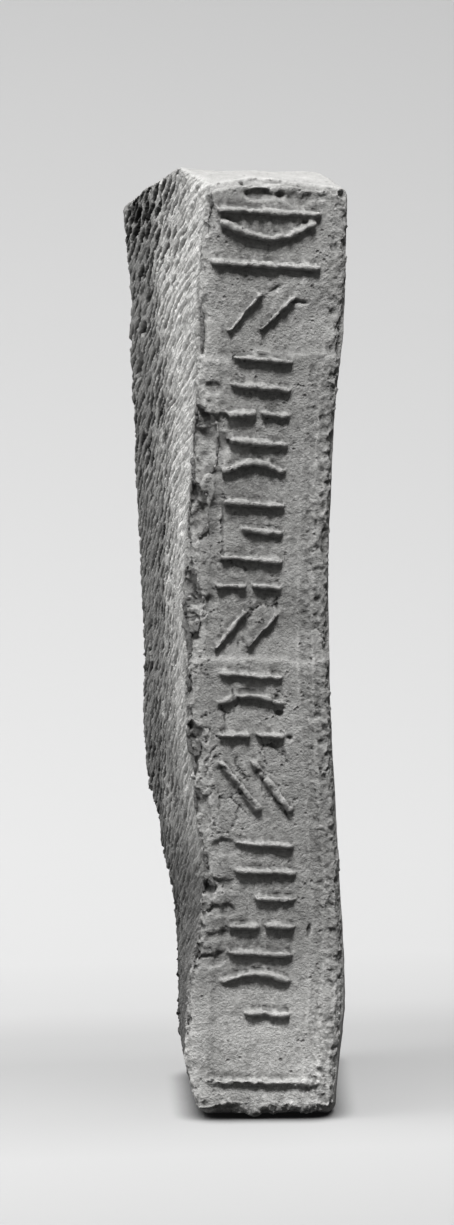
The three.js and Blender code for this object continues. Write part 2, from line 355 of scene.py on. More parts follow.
@dataclass(frozen=True)
class Scar:
    """One placed hollow, on the moulded edge or on the cord-marked side.

    Args:
        place: distance across from the left front arris, and height above the foot.
        size: its full length across and upwards.
        depth: how deep it is.
        turn: degrees that it leans.
        ragged: how much its outline wanders, as a share of its size.
    """

    place: tuple[float, float]
    size: tuple[float, float]
    depth: float
    turn: float = 0.0
    ragged: float = 0.45

    def cut(self, plan: np.ndarray) -> np.ndarray:
        """Works out how deep the scar is at each vertex.

        Args:
            plan: distance across the surface and height, for each vertex.

        Returns:
            The depth at each vertex, in millimetres.
        """
        turn = math.radians(self.turn)
        right, up = (plan - np.array(self.place)).T
        along = (right * math.cos(turn) + up * math.sin(turn)) / self.size[0] * 2
        over = (up * math.cos(turn) - right * math.sin(turn)) / self.size[1] * 2
        seed = int(self.place[1])
        wander = noise(plan, 0.4 * min(self.size) + 1.5, seed) + 0.35 * noise(plan, 2.0, seed + 1)
        edge = np.hypot(along, over) + self.ragged * wander
        return self.depth * (1 - smooth(edge, 0.5, 1.0)) * (1 + 0.3 * noise(plan, 2.2, seed + 2))


@dataclass(frozen=True)
class Roughness:
    """One scale of roughness, laid over a zone by a displacement.

    Args:
        zone: where it lies.
        texture: the kind of pattern.
        size: how far apart its lumps are.
        strength: how far it moves the surface.
        level: the share of it that stays below the surface, 1 for hollows alone.
    """

    zone: Zone
    texture: str
    size: float
    strength: float
    level: float = 0.6


LEFT_FLAKING = Flaking(reach=12.0, depth=0.55, amount=0.3, lowest=34.0, highest=286.0, seed=61)
RIGHT_FLAKING = Flaking(reach=7.0, depth=0.5, amount=0.1, lowest=10.0, highest=360.0, seed=66)
RIGHT_PITS = PitChain()

FACE_SCARS = (
    Scar((1.0, 141.5), (2.6, 2.4), 1.8, ragged=0.15),
    Scar((40.5, 67.0), (1.5, 6.4), 1.6, ragged=0.1),
    Scar((7.0, 214.0), (12.0, 24.0), 1.1, ragged=0.2),
    Scar((12.5, 214.0), (1.3, 22.0), 0.9, turn=3, ragged=0.4),
    Scar((7.0, 241.0), (13.0, 20.0), 1.5),
    Scar((8.0, 251.0), (9.0, 5.0), 0.9),
    Scar((6.0, 262.0), (6.0, 4.0), 0.9),
    Scar((7.0, 186.0), (13.0, 6.0), 1.0, turn=12),
    Scar((10.0, 99.0), (13.0, 6.0), 0.8, turn=20),
    Scar((7.0, 85.0), (12.0, 5.0), 0.8),
    Scar((7.5, 76.0), (12.0, 4.6), 0.9, turn=-8),
    Scar((7.0, 66.5), (12.0, 5.0), 0.7, turn=6),
    Scar((8.0, 57.0), (13.0, 5.4), 0.9),
    Scar((38.0, 328.0), (24.0, 5.0), 0.8),
    Scar((20.5, 329.2), (17.0, 3.8), 1.7, turn=-3, ragged=0.4),
    Scar((37.0, 291.0), (7.5, 1.5), 0.8, turn=-6),
    Scar((27.5, 296.0), (6.0, 1.8), 0.9, turn=30),
    Scar((33.5, 146.0), (3.4, 1.6), 1.0),
    Scar((36.5, 137.0), (2.6, 2.2), 1.0),
)

SIDE_SCARS = (
    Scar((82.0, 288.0), (18.0, 6.0), 2.6, turn=-42),
    Scar((91.0, 276.0), (11.0, 5.0), 1.8, turn=-30),
    Scar((100.0, 262.0), (14.0, 7.0), 1.6, turn=-35),
    Scar((62.0, 318.0), (10.0, 4.0), 1.4, turn=-60),
    Scar((96.0, 160.0), (16.0, 26.0), 1.2, turn=-20),
    Scar((14.0, 146.0), (6.0, 3.0), 1.2, turn=-10),
)

ROUGHNESSES = (
    Roughness(Zone.PANEL, "CLOUDS", 14.0, 0.9),
    Roughness(Zone.PANEL, "CLOUDS", 2.4, 0.7),
    Roughness(Zone.PANEL, "CLOUDS", 1.3, 0.5),
    Roughness(Zone.MARGIN, "CLOUDS", 5.5, 0.9),
    Roughness(Zone.MARGIN, "CLOUDS", 2.0, 1.1),
    Roughness(Zone.MARGIN, "CLOUDS", 1.2, 1.0),
    Roughness(Zone.CORDED, "CLOUDS", 38.0, 2.4),
    Roughness(Zone.CORDED, "CLOUDS", 2.2, 0.8),
    Roughness(Zone.CORDED, "CLOUDS", 1.2, 0.6),
    Roughness(Zone.PLAIN, "CLOUDS", 30.0, 1.2),
    Roughness(Zone.PLAIN, "CLOUDS", 3.0, 0.3),
    Roughness(Zone.BROKEN, "CLOUDS", 17.0, 3.2),
    Roughness(Zone.BROKEN, "CLOUDS", 5.5, 1.7),
    Roughness(Zone.BROKEN, "CLOUDS", 1.9, 1.0),
    Roughness(Zone.FOOT, "CLOUDS", 5.0, 0.5),
    Roughness(Zone.ARRIS, "CLOUDS", 7.0, 1.4, 0.7),
    Roughness(Zone.ARRIS, "CLOUDS", 2.1, 0.9, 0.7),
    Roughness(Zone.ARRIS, "CLOUDS", 1.2, 0.7, 0.7),
)


@dataclass
class FiredBrick:
    """The fragment: one solid piece of moulded and fired clay.

    Args:
        node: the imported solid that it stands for.
        name: the piece's own name.
    """

    node: str = "brick_fragment"
    name: str = "fired_clay_brick"
    voxel: float = 0.56
    softening: int = 4
    triangles: int = 192_000
    plain_thinning: float = 0.92
    panel_to: float = 0.79
    framed_below: float = 270.0
    rim_height: float = 3.0
    rim_sway: float = 1.7
    lip_height: float = 5.2
    lip_half_width: float = 1.5
    lip_rise: float = 0.5
    lip_pale: float = 1.12
    top_calm: float = 0.65
    # painted shade on the moulded face: facets facing down are painted darker, those facing up a little
    # darker
    shade_under: float = 0.55
    shade_over: float = 0.12
    ledges: tuple[float, ...] = (272.0, 164.0)
    ledge_depth: float = 1.3
    ledge_slope: float = 3.0
    ledge_fade: float = 28.0
    stroke_base: float = 0.3
    stroke_gain: float = 0.95
    stroke_wear: float = 0.9
    ridge_places: tuple[float, ...] = (0.765, 0.86)
    ridge_rise: float = 0.35
    ridge_half_width: float = 0.9
    hollow_reach: int = 16
    hollow_gain: float = 0.9
    # painted light and shade on the cord-marked side: paler near the moulded edge, darker towards the back
    back_dirt_and_shade_from: float = 24.0
    back_dirt_and_shade_to: float = 84.0
    back_dirt_and_shade_stray: float = 20.0
    side_painted_light: float = 1.7
    side_dark: float = 0.7
    margin_dark: float = 0.9
    side_low: float = 0.5
    low_from: float = 112.0
    low_to: float = 78.0
    # cord marks and cracks are painted darker with their depth, as dirt and painted shade
    mark_dirt_and_shade: float = 0.88
    mark_fill: float = 2.0
    mark_clean: float = 0.25
    crack_fill: float = 0.6
    foot_pale: float = 1.4
    # painted shade on the cord-marked side's facets that face up
    brow_shade: float = 0.3
    cord_marks: CordMarks = field(default_factory=CordMarks)
    cracks: CrackNet = field(default_factory=CrackNet)
    piece: Optional[bpy.types.Object] = None

    def build(self) -> bpy.types.Object:
        """Makes the piece and returns it."""
        self.copy_solid()
        self.divide()
        clay = Clay(*self.read())
        zones = self.zones(clay)
        marks = zones[Zone.CORDED] * self.cord_marks.cut(clay)
        on_front = zones[Zone.PANEL] + zones[Zone.MARGIN]
        cracks = on_front * self.cracks.cut(clay)
        depth = marks + cracks + self.carving(clay, zones)
        moved = clay.places - clay.normals * depth[:, None]
        sway = 0.8 * noise(clay.face_plan, 7, 75) + 0.5 * noise(clay.face_plan, 2.6, 76)
        moved[:, 2] += self.rim_sway * self.rim(clay) * sway
        self.write(moved)
        self.roughen(zones)
        worked, facing = self.read()
        dirty_and_shaded = self.dirt_and_shade(clay, marks, cracks)
        # painted shade: the moulded face is painted darker where its facets face down, under the strokes, and
        # a little darker where they face up
        shades = (self.shade_under, 0, self.shade_over)
        painted_facing_shade = 1 - on_front * np.interp(facing[:, 2], (-0.8, 0, 0.8), shades)
        tone = self.tones(clay, zones) * (1 - self.mark_dirt_and_shade * dirty_and_shaded) * painted_facing_shade
        values = {
            "hollow": self.hollows(),
            "tone": tone,
            "core": np.clip(zones[Zone.BROKEN] / (1 - self.top_calm), 0, 1),
            "corded": zones[Zone.CORDED],
        }
        self.thin(clay, zones)
        self.record_surface(worked, values)
        only(self.piece)
        bpy.ops.object.shade_smooth()
        return self.piece

    def copy_solid(self) -> None:
        """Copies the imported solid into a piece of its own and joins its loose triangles."""
        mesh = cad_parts[self.node].data.copy()
        self.piece = bpy.data.objects.new(self.name, mesh)
        bpy.context.scene.collection.objects.link(self.piece)
        mesh.materials.clear()
        only(self.piece)
        bpy.ops.object.mode_set(mode="EDIT")
        bpy.ops.mesh.select_all(action="SELECT")
        bpy.ops.mesh.remove_doubles(threshold=0.01 * MM)
        bpy.ops.mesh.normals_make_consistent(inside=False)
        bpy.ops.object.mode_set(mode="OBJECT")

    def divide(self) -> None:
        """Divides the surface finely and evenly, and softens its facets."""
        modify(self.piece, "REMESH", mode="VOXEL", voxel_size=self.voxel * MM)
        modify(self.piece, "SMOOTH", factor=0.5, iterations=self.softening)

    def read(self) -> tuple[np.ndarray, np.ndarray]:
        """Reads the vertices, in millimetres, and their normals."""
        vertices = self.piece.data.vertices
        places = np.empty(len(vertices) * 3)
        normals = np.empty(len(vertices) * 3)
        vertices.foreach_get("co", places)
        vertices.foreach_get("normal", normals)
        return places.reshape(-1, 3) / MM, normals.reshape(-1, 3)

    def write(self, places: np.ndarray) -> None:
        """Puts the vertices at places in millimetres, none of them below the ground."""
        places[:, 2] = np.maximum(places[:, 2], 0)
        self.piece.data.vertices.foreach_set("co", (places * MM).ravel())
        self.piece.data.update()

    def zones(self, clay: Clay) -> dict[Zone, np.ndarray]:
        """Works out how far each vertex belongs to each kind of surface.

        Args:
            clay: the surface.

        Returns:
            A weight from 0 to 1 for each zone and vertex.
        """
        upright = 1 - smooth(np.abs(clay.normals[:, 2]), 0.75, 0.95) * smooth(clay.front, -1.0, 0.5)
        on_front = (1 - smooth(clay.front, 2.2, 4.0)) * upright
        on_left = (1 - smooth(clay.left, 1.2, 3.0)) * (1 - on_front) * upright
        on_right = (1 - smooth(clay.right, 1.2, 3.0)) * (1 - on_front) * upright
        panel = 1 - smooth(clay.share, self.panel_to - 0.03, self.panel_to + 0.03)
        bare = smooth(clay.height, self.framed_below, self.framed_below + 8)
        panel = np.maximum(panel, bare * (1 - smooth(clay.share, 0.82, 0.88)))
        other = np.clip(1 - on_front - on_left - on_right, 0, 1)
        foot = other * (1 - smooth(clay.height, 6, 10))
        edge = np.hypot(clay.front, np.minimum(clay.left, clay.right))
        worn = np.where(clay.left < clay.right, 1.0, 0.6)
        rim = self.rim(clay)
        brow = (1 - smooth(clay.front, 1.0, 4.0)) * smooth(clay.normals[:, 2], 0.2, 0.5)
        return {
            Zone.PANEL: on_front * panel,
            Zone.MARGIN: on_front * (1 - panel),
            Zone.CORDED: on_left,
            Zone.PLAIN: on_right,
            Zone.BROKEN: (other - foot) * (1 - self.top_calm * smooth(clay.normals[:, 2], 0.5, 0.8)),
            Zone.FOOT: foot,
            Zone.ARRIS: np.maximum.reduce([(1 - smooth(edge, 1.0, 5.0)) * worn, rim, brow]),
        }

    def rim(self, clay: Clay) -> np.ndarray:
        """Works out how near each vertex is to the lower edge of the moulded face."""
        return 1 - smooth(np.hypot(clay.front, clay.height - self.rim_height), 2.0, 6.0)

    def carving(self, clay: Clay, zones: dict[Zone, np.ndarray]) -> np.ndarray:
        """Works out what the flaking, scars and wear take off each vertex.

        Args:
            clay: the surface.
            zones: how far each vertex belongs to each kind of surface.

        Returns:
            The depth that is taken off, in millimetres, below 0 where the surface stands out.
        """
        on_front = zones[Zone.PANEL] + zones[Zone.MARGIN]
        depth = on_front * LEFT_FLAKING.cut(clay, clay.left)
        depth += on_front * RIGHT_FLAKING.cut(clay, clay.right)
        depth += on_front * RIGHT_PITS.cut(clay)
        layer = (clay.height - self.lip_height - 0.8 * noise(clay.face_plan, 12, 77)) / self.lip_half_width
        lip = on_front * self.lip_rise * np.clip(1 - layer**2, 0, 1)
        depth -= lip * (1 + 0.5 * noise(clay.face_plan, 3, 78))
        for scar in FACE_SCARS:
            depth += on_front * scar.cut(clay.face_plan)
        for scar in SIDE_SCARS:
            depth += zones[Zone.CORDED] * scar.cut(clay.side_plan)
        depth += on_front * self.stroke_change(clay)
        for ledge in self.ledges:
            above = clay.height - ledge + 1.8 * noise(clay.face_plan, 11, 74)
            stepped = smooth(above, 0, self.ledge_slope)
            stepped *= 1 - smooth(above, self.ledge_slope, self.ledge_fade)
            depth += on_front * self.ledge_depth * stepped
        for place in self.ridge_places:
            off = (clay.share - place) * (clay.left + clay.right) / self.ridge_half_width
            whole = smooth(noise(clay.face_plan, 9, 73), -0.4, 0.3) * (clay.height < self.framed_below)
            depth -= on_front * self.ridge_rise * whole * np.clip(1 - off * off, 0, 1)
        return depth

    def stroke_change(self, clay: Clay) -> np.ndarray:
        """Raises the moulded strokes and wears them unevenly.

        Args:
            clay: the surface.

        Returns:
            The depth taken off each vertex, below 0 where the strokes are raised.
        """
        standing = np.clip(-clay.front - self.stroke_base, 0, 1.6)
        wear = 0.3 + 0.45 * noise(clay.face_plan, 8, 71) + 0.5 * noise(clay.face_plan, 2.2, 72)
        gain = self.stroke_gain * smooth(clay.height, 13, 22)
        return standing * (np.clip(wear, 0, 1) * self.stroke_wear - gain)

    def paint(self, zone: Zone, weights: np.ndarray, levels: int = 12) -> None:
        """Writes a zone's weights to its vertex group, in even levels."""
        group = self.piece.vertex_groups.new(name=zone.value)
        steps = np.round(weights * levels).astype(int)
        for step in range(1, levels + 1):
            group.add(np.flatnonzero(steps == step).tolist(), step / levels, "REPLACE")

    def roughen(self, zones: dict[Zone, np.ndarray]) -> None:
        """Lays every scale of roughness over its zone, and keeps the foot on the ground."""
        for zone, weights in zones.items():
            self.paint(zone, weights)
        for rough in ROUGHNESSES:
            texture = bpy.data.textures.new(f"{rough.zone.value}_{rough.size}", rough.texture)
            texture.noise_scale = rough.size * MM
            modify(
                self.piece,
                "DISPLACE",
                texture=texture,
                texture_coords="LOCAL",
                direction="NORMAL",
                vertex_group=rough.zone.value,
                strength=rough.strength * MM,
                mid_level=rough.level,
            )
        self.write(self.read()[0])

    def hollows(self) -> np.ndarray:
        """Works out how hollow the surface is at each vertex, for dirt, painted shade and wear.

        Returns:
            0 where the surface stands out, 0.5 where it is even, and 1 in a hollow.
        """
        places, normals = self.read()
        modify(self.piece, "SMOOTH", factor=0.5, iterations=self.hollow_reach)
        softened, _ = self.read()
        self.write(places)
        sunk = np.einsum("ij,ij->i", softened - places, normals)
        return np.clip(0.5 + self.hollow_gain * sunk, 0, 1)

    def dirt_and_shade(self, clay: Clay, marks: np.ndarray, cracks: np.ndarray) -> np.ndarray:
        """Works out how dark the cord marks and cracks are painted, as dirt and painted shade, more so
        towards the back.

        Args:
            clay: the surface.
            marks: how deep the cord marks are at each vertex.
            cracks: how deep the cracks are at each vertex.

        Returns:
            A share from 0 to 1 for each vertex.
        """
        # dirt and painted shade in the marks and cracks, stronger towards the back
        far = 1 + smooth(clay.front, self.back_dirt_and_shade_from, self.back_dirt_and_shade_to)
        in_marks = self.mark_fill * far * marks / self.cord_marks.depth - self.mark_clean
        return np.clip(np.maximum(in_marks, self.crack_fill * cracks / self.cracks.depth), 0, 1)

    def tones(self, clay: Clay, zones: dict[Zone, np.ndarray]) -> np.ndarray:
        """Works out how pale the clay is at each vertex, painted light and shade included.

        Args:
            clay: the surface.
            zones: how far each vertex belongs to each kind of surface.

        Returns:
            What the clay's colour is multiplied by at each vertex, 1 for the moulded face.
        """
        streaks = clay.side_plan * np.array([1.0, 0.35])
        stray = self.back_dirt_and_shade_stray * (noise(streaks, 17, 81) + 0.5 * noise(streaks, 6, 85))
        # the cord-marked side is painted paler near the moulded edge, painted light for its lit face, and
        # darker towards the back, as dirt and painted shade
        back_dirt_and_shade = smooth(clay.front + stray, self.back_dirt_and_shade_from, self.back_dirt_and_shade_to)
        side = self.side_painted_light + (self.side_dark - self.side_painted_light) * back_dirt_and_shade
        low = smooth(clay.height + 10 * noise(streaks, 15, 84), self.low_to, self.low_from)
        low *= smooth(clay.front, 2, 7)
        side += (self.side_low - side) * (1 - low)
        face = 1 + 0.12 * noise(clay.face_plan, 30, 82)
        # the face is paler towards the foot
        paler_below = clay.height + 9 * noise(clay.face_plan, 24, 83)
        face = face + (self.foot_pale - 1) * (1 - smooth(paler_below, 22, 72))
        face *= 1 + (self.lip_pale - 1) * (1 - smooth(clay.height, 8, 11))
        face *= 1 + (self.margin_dark - 1) * zones[Zone.MARGIN] * smooth(clay.height, 30, 60)
        tone = face + zones[Zone.CORDED] * (side - face)
        # painted shade: facets of the cord-marked side that face up are painted darker
        return tone * (1 - self.brow_shade * smooth(clay.normals[:, 2], 0.15, 0.6) * zones[Zone.CORDED])

    def thin(self, clay: Clay, zones: dict[Zone, np.ndarray]) -> None:
        """Thins the mesh to its limit, first of all on the plain side, the back and the underside.

        Args:
            clay: the surface.
            zones: how far each vertex belongs to each kind of surface.
        """
        plain = self.piece.vertex_groups.new(name="plain_or_broken")
        chosen = zones[Zone.PLAIN] + zones[Zone.BROKEN] + zones[Zone.FOOT] > 0.9
        chosen &= clay.normals[:, 2] < 0.5
        plain.add(np.flatnonzero(chosen).tolist(), 1, "REPLACE")
        ratio = 1 - self.plain_thinning * chosen.mean()
        modify(self.piece, "DECIMATE", ratio=ratio, vertex_group=plain.name, use_collapse_triangulate=True)
        modify(self.piece, "DECIMATE", ratio=self.triangles / len(self.piece.data.polygons))

    def record_surface(self, dense: np.ndarray, values: dict[str, np.ndarray]) -> None:
        """Carries values from the finely divided surface to the finished mesh, as its attributes.

        Args:
            dense: the vertices of the finely divided surface.
            values: what to carry, by the attributes' names.
        """
        tree = kdtree.KDTree(len(dense))
        for index, place in enumerate(dense):
            tree.insert(place, index)
        tree.balance()
        places, _ = self.read()
        nearest = np.array([tree.find(place)[1] for place in places])
        self.piece.vertex_groups.clear()
        for name, value in values.items():
            attribute = self.piece.data.attributes.new(name, "FLOAT", "POINT")
            attribute.data.foreach_set("value", value[nearest].astype(np.float32))


@dataclass(frozen=True)
class ShaderGroup:
    """A shader node group with named inputs and outputs.

    Args:
        name: the group's name.
        inputs: each input's socket type and value, by its name.
        outputs: each output's socket type, by its name.
    """

    name: str
    inputs: dict[str, tuple[str, object]]
    outputs: dict[str, str]

    def start(self) -> tuple[bpy.types.NodeTree, bpy.types.Node, bpy.types.Node]:
        """Makes the group and returns it with its input and output nodes."""
        tree = bpy.data.node_groups.new(self.name, "ShaderNodeTree")
        for name, (kind, value) in self.inputs.items():
            socket = tree.interface.new_socket(name, in_out="INPUT", socket_type=kind)
            if value is not None:
                socket.default_value = value
        for name, kind in self.outputs.items():
            tree.interface.new_socket(name, in_out="OUTPUT", socket_type=kind)
        return tree, tree.nodes.new("NodeGroupInput"), tree.nodes.new("NodeGroupOutput")


def add_node(tree: bpy.types.NodeTree, kind: str, links: dict, **settings: object) -> bpy.types.Node:
    """Adds a node, with its sockets' values or links by name or number.

    Args:
        tree: the material's or group's nodes.
        kind: the node's type, without its prefix.
        links: a socket to link from, or a value, for each input.
        settings: the node's own settings.

    Returns:
        The new node.
    """
    node = tree.nodes.new("ShaderNode" + kind)
    for name, value in settings.items():
        setattr(node, name, value)
    for key, value in links.items():
        if isinstance(value, bpy.types.NodeSocket):
            tree.links.new(value, node.inputs[key])
        else:
            node.inputs[key].default_value = value
    return node


def clay_mottle() -> bpy.types.NodeTree:
    """Builds the group that clouds and speckles a clay colour."""
    group = ShaderGroup(
        "clay_mottle",
        {
            "Place": ("NodeSocketVector", None),
            "Pale": ("NodeSocketColor", (0.5, 0.5, 0.5, 1)),
            "Dark": ("NodeSocketColor", (0.2, 0.2, 0.2, 1)),
            "Cloud Scale": ("NodeSocketFloat", 45.0),
            "Speck Scale": ("NodeSocketFloat", 900.0),
            "Speck Strength": ("NodeSocketFloat", 0.3),
        },
        {"Color": "NodeSocketColor"},
    )
    tree, given, result = group.start()
    place = given.outputs["Place"]
    cloud = add_node(tree, "TexNoise", {"Vector": place, "Scale": given.outputs["Cloud Scale"], "Detail": 6.0,
                                        "Roughness": 0.62})
    speck = add_node(tree, "TexNoise", {"Vector": place, "Scale": given.outputs["Speck Scale"], "Detail": 3.0,
                                        "Roughness": 0.7})
    even = add_node(tree, "Math", {0: speck.outputs[0], 1: 0.5}, operation="SUBTRACT")
    strong = add_node(tree, "Math", {0: even.outputs[0], 1: given.outputs["Speck Strength"]},
                      operation="MULTIPLY")
    total = add_node(tree, "Math", {0: cloud.outputs[0], 1: strong.outputs[0]}, operation="ADD")
    spread = add_node(tree, "MapRange", {0: total.outputs[0], 1: 0.28, 2: 0.72, 3: 0.0, 4: 1.0})
    mixed = add_node(tree, "Mix", {0: spread.outputs[0], 6: given.outputs["Dark"], 7: given.outputs["Pale"]},
                     data_type="RGBA")
    tree.links.new(mixed.outputs[2], result.inputs["Color"])
    return tree


def clay_grit() -> bpy.types.NodeTree:
    """Builds the group that gives the height of sand grains and pinholes."""
    group = ShaderGroup(
        "clay_grit",
        {
            "Place": ("NodeSocketVector", None),
            "Grain Scale": ("NodeSocketFloat", 1100.0),
            "Pit Scale": ("NodeSocketFloat", 420.0),
            "Pit Depth": ("NodeSocketFloat", 0.8),
        },
        {"Height": "NodeSocketFloat", "Pits": "NodeSocketFloat"},
    )
    tree, given, result = group.start()
    place = given.outputs["Place"]
    grain = add_node(tree, "TexNoise", {"Vector": place, "Scale": given.outputs["Grain Scale"], "Detail": 4.0,
                                        "Roughness": 0.65})
    cells = add_node(tree, "TexVoronoi", {"Vector": place, "Scale": given.outputs["Pit Scale"],
                                          "Randomness": 1.0})
    pits = add_node(tree, "MapRange", {0: cells.outputs["Distance"], 1: 0.08, 2: 0.3, 3: 1.0, 4: 0.0})
    chosen = add_node(tree, "TexNoise", {"Vector": place, "Scale": 130.0, "Detail": 2.0})
    patch = add_node(tree, "MapRange", {0: chosen.outputs[0], 1: 0.48, 2: 0.62, 3: 0.0, 4: 1.0})
    kept = add_node(tree, "Math", {0: pits.outputs[0], 1: patch.outputs[0]}, operation="MULTIPLY")
    deep = add_node(tree, "Math", {0: kept.outputs[0], 1: given.outputs["Pit Depth"]}, operation="MULTIPLY")
    height = add_node(tree, "Math", {0: grain.outputs[0], 1: deep.outputs[0]}, operation="SUBTRACT")
    tree.links.new(height.outputs[0], result.inputs["Height"])
    tree.links.new(kept.outputs[0], result.inputs["Pits"])
    return tree


def clay_strands() -> bpy.types.NodeTree:
    """Builds the group that gives the height of the fine strands of cord on the beaten side."""
    group = ShaderGroup(
        "clay_strands",
        {
            "Place": ("NodeSocketVector", None),
            "Lean": ("NodeSocketFloat", 0.55),
            "Across Scale": ("NodeSocketFloat", 850.0),
            "Along Scale": ("NodeSocketFloat", 65.0),
        },
        {"Height": "NodeSocketFloat"},
    )
    tree, given, result = group.start()
    apart = add_node(tree, "SeparateXYZ", {0: given.outputs["Place"]})
    back, up = apart.outputs["Y"], apart.outputs["Z"]
    risen = add_node(tree, "Math", {0: back, 1: given.outputs["Lean"], 2: up}, operation="MULTIPLY_ADD")
    across = add_node(tree, "Math", {0: risen.outputs[0], 1: given.outputs["Across Scale"]},
                      operation="MULTIPLY")
    along = add_node(tree, "Math", {0: back, 1: given.outputs["Along Scale"]}, operation="MULTIPLY")
    lines = add_node(tree, "CombineXYZ", {0: along.outputs[0], 1: across.outputs[0]})
    strands = add_node(tree, "TexNoise", {"Vector": lines.outputs[0], "Scale": 1.0, "Detail": 2.0})
    tree.links.new(strands.outputs[0], result.inputs["Height"])
    return tree


@dataclass(frozen=True)
class ClayFinish:
    """Matt grey fired clay, painted darker in its hollows as dirt and painted shade, and pale where it stands
    out.
    """

    name: str = "fired_clay"
    pale: tuple[float, float, float, float] = (0.565, 0.561, 0.548, 1)
    dark: tuple[float, float, float, float] = (0.375, 0.372, 0.361, 1)
    core_pale: tuple[float, float, float, float] = (0.62, 0.615, 0.602, 1)
    core_dark: tuple[float, float, float, float] = (0.46, 0.456, 0.445, 1)
    dirt_and_shade: float = 0.4
    bloom: float = 1.08
    roughness: float = 0.93
    grit_height: float = 0.9
    strand_share: float = 1.25

    def make(self) -> bpy.types.Material:
        """Makes the material and returns it."""
        material = bpy.data.materials.new(self.name)
        material.use_nodes = True
        tree = material.node_tree
        shader = tree.nodes["Principled BSDF"]
        shader.inputs["Roughness"].default_value = self.roughness
        shader.inputs["Specular IOR Level"].default_value = 0.25
        place = add_node(tree, "TexCoord", {}).outputs["Object"]
        mottle, grit = clay_mottle(), clay_grit()
        skin = self.mottled(tree, mottle, place, self.pale, self.dark)
        core = self.mottled(tree, mottle, place, self.core_pale, self.core_dark)
        broken = add_node(tree, "Attribute", {}, attribute_name="core")
        body = add_node(tree, "Mix", {0: broken.outputs["Fac"], 6: skin, 7: core}, data_type="RGBA")
        # hollows are painted darker, as dirt and painted shade; parts that stand out are paler
        hollow = add_node(tree, "Attribute", {}, attribute_name="hollow").outputs["Fac"]
        dirty_and_shaded = add_node(tree, "MapRange", {0: hollow, 1: 0.3, 2: 0.95, 3: self.bloom, 4: self.dirt_and_shade})
        tone = add_node(tree, "Attribute", {}, attribute_name="tone").outputs["Fac"]
        shade = add_node(tree, "Math", {0: dirty_and_shaded.outputs[0], 1: tone}, operation="MULTIPLY")
        sand = add_node(tree, "Group", {"Place": place, "Grain Scale": 1150.0}, node_tree=grit)
        pitted = add_node(tree, "MapRange", {0: sand.outputs["Pits"], 3: 1.0, 4: 0.55})
        factor = add_node(tree, "Math", {0: shade.outputs[0], 1: pitted.outputs[0]}, operation="MULTIPLY")
        colour = add_node(tree, "VectorMath", {0: body.outputs[2], 3: factor.outputs[0]}, operation="SCALE")
        tree.links.new(colour.outputs[0], shader.inputs["Base Color"])
        corded = add_node(tree, "Attribute", {}, attribute_name="corded").outputs["Fac"]
        strands = add_node(tree, "Group", {"Place": place}, node_tree=clay_strands())
        beaten = add_node(tree, "Math", {0: strands.outputs["Height"], 1: corded}, operation="MULTIPLY")
        heights = {0: beaten.outputs[0], 1: self.strand_share, 2: sand.outputs["Height"]}
        uneven = add_node(tree, "Math", heights, operation="MULTIPLY_ADD")
        bump = add_node(tree, "Bump", {"Strength": 1.0, "Distance": self.grit_height * MM,
                                       "Height": uneven.outputs[0]})
        tree.links.new(bump.outputs[0], shader.inputs["Normal"])
        return material

    def mottled(
        self,
        tree: bpy.types.NodeTree,
        group: bpy.types.NodeTree,
        place: bpy.types.NodeSocket,
        pale: tuple[float, float, float, float],
        dark: tuple[float, float, float, float],
    ) -> bpy.types.NodeSocket:
        """Places the mottling group in the material with a pair of colours.

        Args:
            tree: the material's nodes.
            group: the mottling group.
            place: the socket that gives the place on the object.
            pale: the paler colour.
            dark: the darker colour.

        Returns:
            The socket of the mottled colour.
        """
        values = {"Place": place, "Pale": pale, "Dark": dark, "Cloud Scale": 60.0, "Speck Scale": 1100.0,
                  "Speck Strength": 0.9}
        return add_node(tree, "Group", values, node_tree=group).outputs["Color"]


# Painted shade and light on the paper, a darker band behind the brick and paler stretches around it: places
# from front to back, in metres, and shares.
PAPER_SHADES = (
    (-0.3, 0.9), (-0.22, 0.93), (-0.11, 1.05), (-0.03, 0.98), (0.05, 0.86), (0.1, 0.91),
    (0.15, 1.05), (0.25, 1.16), (0.4, 1.12), (0.7, 1.0),
)


